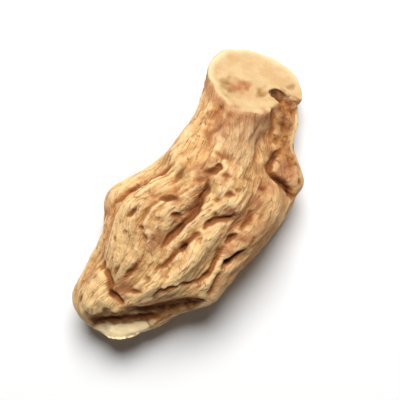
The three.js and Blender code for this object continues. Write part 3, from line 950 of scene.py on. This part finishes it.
class Nodes:
    """Makes and joins the nodes of a material or of the world."""

    def __init__(self, owner):
        owner.use_nodes = True
        self.tree = owner.node_tree

    def fill(self, node, inputs):
        for key, value in inputs.items():
            if isinstance(value, bpy.types.NodeSocket):
                self.tree.links.new(value, node.inputs[key])
            else:
                node.inputs[key].default_value = value

    def finish(self, name, inputs):
        self.fill(self.tree.nodes[name], inputs)

    def put(self, kind, inputs, **settings):
        made = self.tree.nodes.new("ShaderNode" + kind)
        for key, value in settings.items():
            setattr(made, key, value)
        self.fill(made, inputs)
        return made

    def attribute(self, name, output="Fac"):
        return self.put("Attribute", {}, attribute_name=name).outputs[output]

    def math(self, operation, a, b=0.0):
        return self.put("Math", {0: a, 1: b}, operation=operation).outputs[0]

    def times(self, a, b):
        return self.math("MULTIPLY", a, b)

    def span(self, value, low, high, to_low=0.0, to_high=1.0):
        """to_low where value is low, to_high where it is high, and smoothly between."""
        inputs = {"Value": value, "From Min": low, "From Max": high, "To Min": to_low, "To Max": to_high}
        return self.put("MapRange", inputs, interpolation_type="SMOOTHSTEP").outputs[0]

    def mix(self, share, a, b):
        return self.put("Mix", {0: share, 6: a, 7: b}, data_type="RGBA").outputs[2]

    def layered(self, colour, layers):
        """The colour with layers over it, each a share and a screen colour."""
        for share, over in layers:
            colour = self.mix(share, colour, linear(*over))
        return colour

    def scaled(self, vector, scale):
        return self.put("VectorMath", {0: vector, 1: scale}, operation="MULTIPLY").outputs[0]

    def noise(self, vector, scale, detail, rough):
        inputs = {"Vector": vector, "Scale": scale, "Detail": detail, "Roughness": rough}
        return self.put("TexNoise", inputs).outputs["Fac"]

    def spotted(self, scale, detail, rough=0.55):
        """Noise that is alike in all directions, with its scale for a millimetre."""
        place = self.put("TexCoord", {}).outputs["Object"]
        return self.noise(self.scaled(place, (1 / MM, 1 / MM, 1 / MM)), scale, detail, rough)

    def flowing(self, along, around, detail, rough):
        """Noise stretched along the root's grain."""
        grain = self.attribute("grain", "Vector")
        return self.noise(self.scaled(grain, (along, around, around)), 1.0, detail, rough)

    def off_middle(self, value):
        """How far a noise is from its middle value."""
        return self.math("ABSOLUTE", self.math("SUBTRACT", value, 0.5))


def skin_colour(nodes, streak, fibre, mottle):
    """Tans that drift in patches, and what rubbing, drying and creasing did to them, with painted highlight
    on high places and painted shade in low places and crevices.
    """
    span, times, attribute = nodes.span, nodes.times, nodes.attribute
    patch = nodes.spotted(0.28, 3.0)
    speckle = nodes.spotted(2.6, 3.0, 0.6)
    line = nodes.off_middle(nodes.flowing(0.2, 1.7, 2.0, 0.5))
    # the skin just below the cut's rim is made pinkish brown as well
    blush = nodes.math("MAXIMUM", attribute("blush"), span(attribute("under_rim"), 0.2, 0.8, 0.0, 0.8))
    cork = nodes.mix(span(mottle, 0.4, 0.62), linear(196, 132, 66), linear(128, 70, 26))
    tan = nodes.mix(span(patch, 0.38, 0.62), linear(224, 172, 110), linear(210, 148, 86))
    tan = nodes.layered(tan, [
        # straw streaks, brown speckles and fibres
        (span(streak, 0.35, 0.7, 0.0, 0.65), (240, 198, 138)),
        (span(speckle, 0.5, 0.68, 0.0, 0.6), (182, 124, 72)),
        (span(fibre, 0.45, 0.75, 0.0, 0.3), (170, 112, 62)),
        # high places are rubbed pale, partly painted highlight
        (span(attribute("ridge"), 0.0, 0.08, 0.0, 0.85), (253, 216, 160)),
        # skin rubbed pale in patches, partly painted light, most of all on the tip, which faces away from
        # the lamp
        (times(attribute("pale"), 0.7), (254, 213, 150)),
        # low places keep brown skin, partly painted shade
        (span(attribute("ridge"), 0.01, -0.08, 0.0, 0.68), (162, 100, 48)),
        # scraped flesh, flanks darker brown, partly painted shade, and flesh that dried olive or pinkish
        # brown
        (times(attribute("scraped"), 0.6), (204, 162, 122)),
        (times(attribute("brown"), 0.55), (172, 116, 66)),
        (times(attribute("olive"), 0.5), (176, 142, 92)),
        (times(times(blush, span(mottle, 0.3, 0.6, 0.6, 1.0)), 0.9), (184, 122, 78)),
        # fine dark lines where the skin shrank along the root
        (times(span(line, 0.03, 0.0), span(mottle, 0.35, 0.6, 0.3, 0.85)), (150, 94, 46)),
    ])
    # creases go brown, then nearly black brown, in left cork as well, and painted shade darkens the
    # crevices
    return nodes.layered(nodes.mix(times(attribute("cork"), 0.85), tan, cork), [
        (span(attribute("stain"), 0.0, 0.5, 0.0, 0.9), (152, 90, 38)),
        (span(attribute("stain"), 0.35, 0.9, 0.0, 0.95), (92, 44, 8)),
        # painted shade: brown, then dark brown, where the skin's own folds close in
        (span(attribute("painted_shade_openness"), 0.84, 0.58, 0.0, 0.62), (162, 98, 46)),
        (span(attribute("painted_shade_openness"), 0.6, 0.3, 0.0, 0.75), (98, 50, 14)),
    ])


def flesh_colour(nodes, mottle):
    """Cut flesh: speckled, with dried patches, a paler rim with painted light on the lamp's side, and
    stained hollows that painted shade darkens further.
    """
    span, times, attribute = nodes.span, nodes.times, nodes.attribute
    drift = nodes.spotted(0.5, 4.0)
    speckle = nodes.spotted(3.6, 2.0)
    uneven = span(mottle, 0.25, 0.6, 0.5, 1.0)
    cream = nodes.mix(span(drift, 0.35, 0.65), linear(211, 180, 132), linear(201, 163, 113))
    return nodes.layered(cream, [
        (span(speckle, 0.52, 0.72, 0.0, 0.35), (196, 150, 96)),
        (times(attribute("olive"), uneven), (154, 112, 58)),
        (times(attribute("blush"), uneven), (170, 110, 66)),
        # the paler rim, partly painted highlight on the lamp's side
        (attribute("rim"), (252, 228, 180)),
        (span(attribute("stain"), 0.1, 0.8, 0.0, 0.95), (98, 56, 20)),
        # painted shade in the flesh's hollows, brown then dark brown
        (span(attribute("painted_shade_openness"), 0.8, 0.55), (176, 118, 60)),
        (span(attribute("painted_shade_openness"), 0.55, 0.3), (104, 58, 16)),
    ])


def root_material():
    material = bpy.data.materials.new("ginger_skin")
    nodes = Nodes(material)
    streak = nodes.flowing(0.35, 2.4, 5.0, 0.6)
    fibre = nodes.flowing(1.2, 9.0, 3.0, 0.6)
    mottle = nodes.spotted(1.3, 4.0, 0.6)
    cut = nodes.attribute("cut")
    colour = nodes.mix(cut, skin_colour(nodes, streak, fibre, mottle), flesh_colour(nodes, mottle))
    # fine wrinkles along the root, which the cut flesh doesn't have, and grit
    wrinkle = nodes.span(nodes.off_middle(nodes.flowing(0.7, 2.6, 4.0, 0.65)), 0.0, 0.14)
    wrinkle = nodes.times(wrinkle, nodes.span(cut, 0.0, 0.5, 0.5, 0.0))
    fibres = nodes.times(fibre, nodes.span(cut, 0.0, 0.5, 0.4, 0.0))
    height = nodes.math("ADD", wrinkle, nodes.math("ADD", fibres, nodes.spotted(3.4, 5.0, 0.65)))
    bump = nodes.put("Bump", {"Height": height, "Strength": 0.9, "Distance": 0.00016}).outputs[0]
    nodes.finish("Principled BSDF", {
        "Base Color": colour,
        "Roughness": nodes.span(streak, 0.3, 0.7, 0.72, 0.9),
        "Normal": bump,
        "Specular IOR Level": 0.35,
        "Subsurface Weight": 0.08,
        "Subsurface Radius": (0.0006, 0.00035, 0.00015),
        "Subsurface Scale": 1.0,
    })
    return material


def floor_material():
    material = bpy.data.materials.new("floor")
    Nodes(material).finish("Principled BSDF", {"Base Color": (0.85, 0.85, 0.85, 1), "Roughness": 0.9})
    return material


# ---- The root ----


def add_object(name, points, faces, material):
    mesh = bpy.data.meshes.new(name)
    mesh.from_pydata(points.tolist(), [], faces.tolist())
    mesh.update()
    mesh.materials.append(material)
    made = bpy.data.objects.new(name, mesh)
    bpy.context.scene.collection.objects.link(made)
    return made


def store(mesh, name, values):
    """Keeps a number or a vector for each point in the mesh, for its material."""
    kind, key = ("FLOAT_VECTOR", "vector") if values.ndim == 2 else ("FLOAT", "value")
    attribute = mesh.attributes.new(name, kind, "POINT")
    attribute.data.foreach_set(key, np.ascontiguousarray(values, np.float32).ravel())


skin = Skin(Sculpture())
root = add_object("dried_ginger_root", skin.points * MM, skin.quads, root_material())
root.data.shade_smooth()
for mark, values in skin.marks().items():
    store(root.data, mark, values)
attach(root, "root")
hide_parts(NODE)


# ---- Floor, light and camera ----

FLOOR_HALF = 0.5
corners = FLOOR_HALF * np.array([(-1, -1, 0), (1, -1, 0), (1, 1, 0), (-1, 1, 0)])
floor = add_object("floor", corners, np.array([(0, 1, 2, 3)]), floor_material())

# The view looks straight down on the root, and turns it by TURN: these are the directions of the view's
# right and upper sides in the root's frame. The view is SPAN wide at the height of the root's middle.
TURN = math.radians(62)
RIGHT = Vector((math.cos(TURN), -math.sin(TURN), 0))
UP = Vector((math.sin(TURN), math.cos(TURN), 0))
BACK = Vector((0, 0, 1))
MIDDLE = (cad_box[0] + cad_box[1]) / 2
SPAN = 0.047
LENS = 100
SENSOR = 36

# The lamp is a soft disk beyond the view's upper side.
LAMP_DIRECTION = UP * 0.66 + RIGHT * 0.02 + BACK
LAMP_DISTANCE = 0.9
LAMP_SIZE = 0.5
LAMP_POWER = 12.0


def studio_world():
    """Pale walls all round, which end between two heights of the view, and a dim ceiling."""
    world = bpy.data.worlds.new("studio")
    nodes = Nodes(world)
    direction = nodes.put("TexCoord", {}).outputs["Generated"]
    height = nodes.put("SeparateXYZ", {0: direction}).outputs["Z"]
    strength = nodes.span(height, 0.08, 0.35, 0.6, 0.04)
    nodes.finish("Background", {"Color": (1, 1, 1, 1), "Strength": strength})
    return world


def stand(name, data, location, rotation):
    made = bpy.data.objects.new(name, data)
    made.location = location
    made.rotation_mode = "QUATERNION"
    made.rotation_quaternion = rotation
    bpy.context.scene.collection.objects.link(made)
    return made


def add_lamp():
    data = bpy.data.lights.new("key", "AREA")
    data.shape = "DISK"
    data.size = LAMP_SIZE
    data.energy = LAMP_POWER
    place = MIDDLE + LAMP_DIRECTION.normalized() * LAMP_DISTANCE
    stand("key", data, place, (-LAMP_DIRECTION).to_track_quat("-Z", "Y"))


def add_camera():
    data = bpy.data.cameras.new("camera")
    data.lens = LENS
    data.sensor_width = SENSOR
    distance = SPAN * LENS / SENSOR
    turned = Matrix((RIGHT, UP, BACK)).transposed().to_quaternion()
    return stand("camera", data, MIDDLE + BACK * distance, turned)


bpy.context.scene.world = studio_world()
add_lamp()
bpy.context.scene.camera = add_camera()
bpy.context.scene.view_settings.view_transform = "Standard"
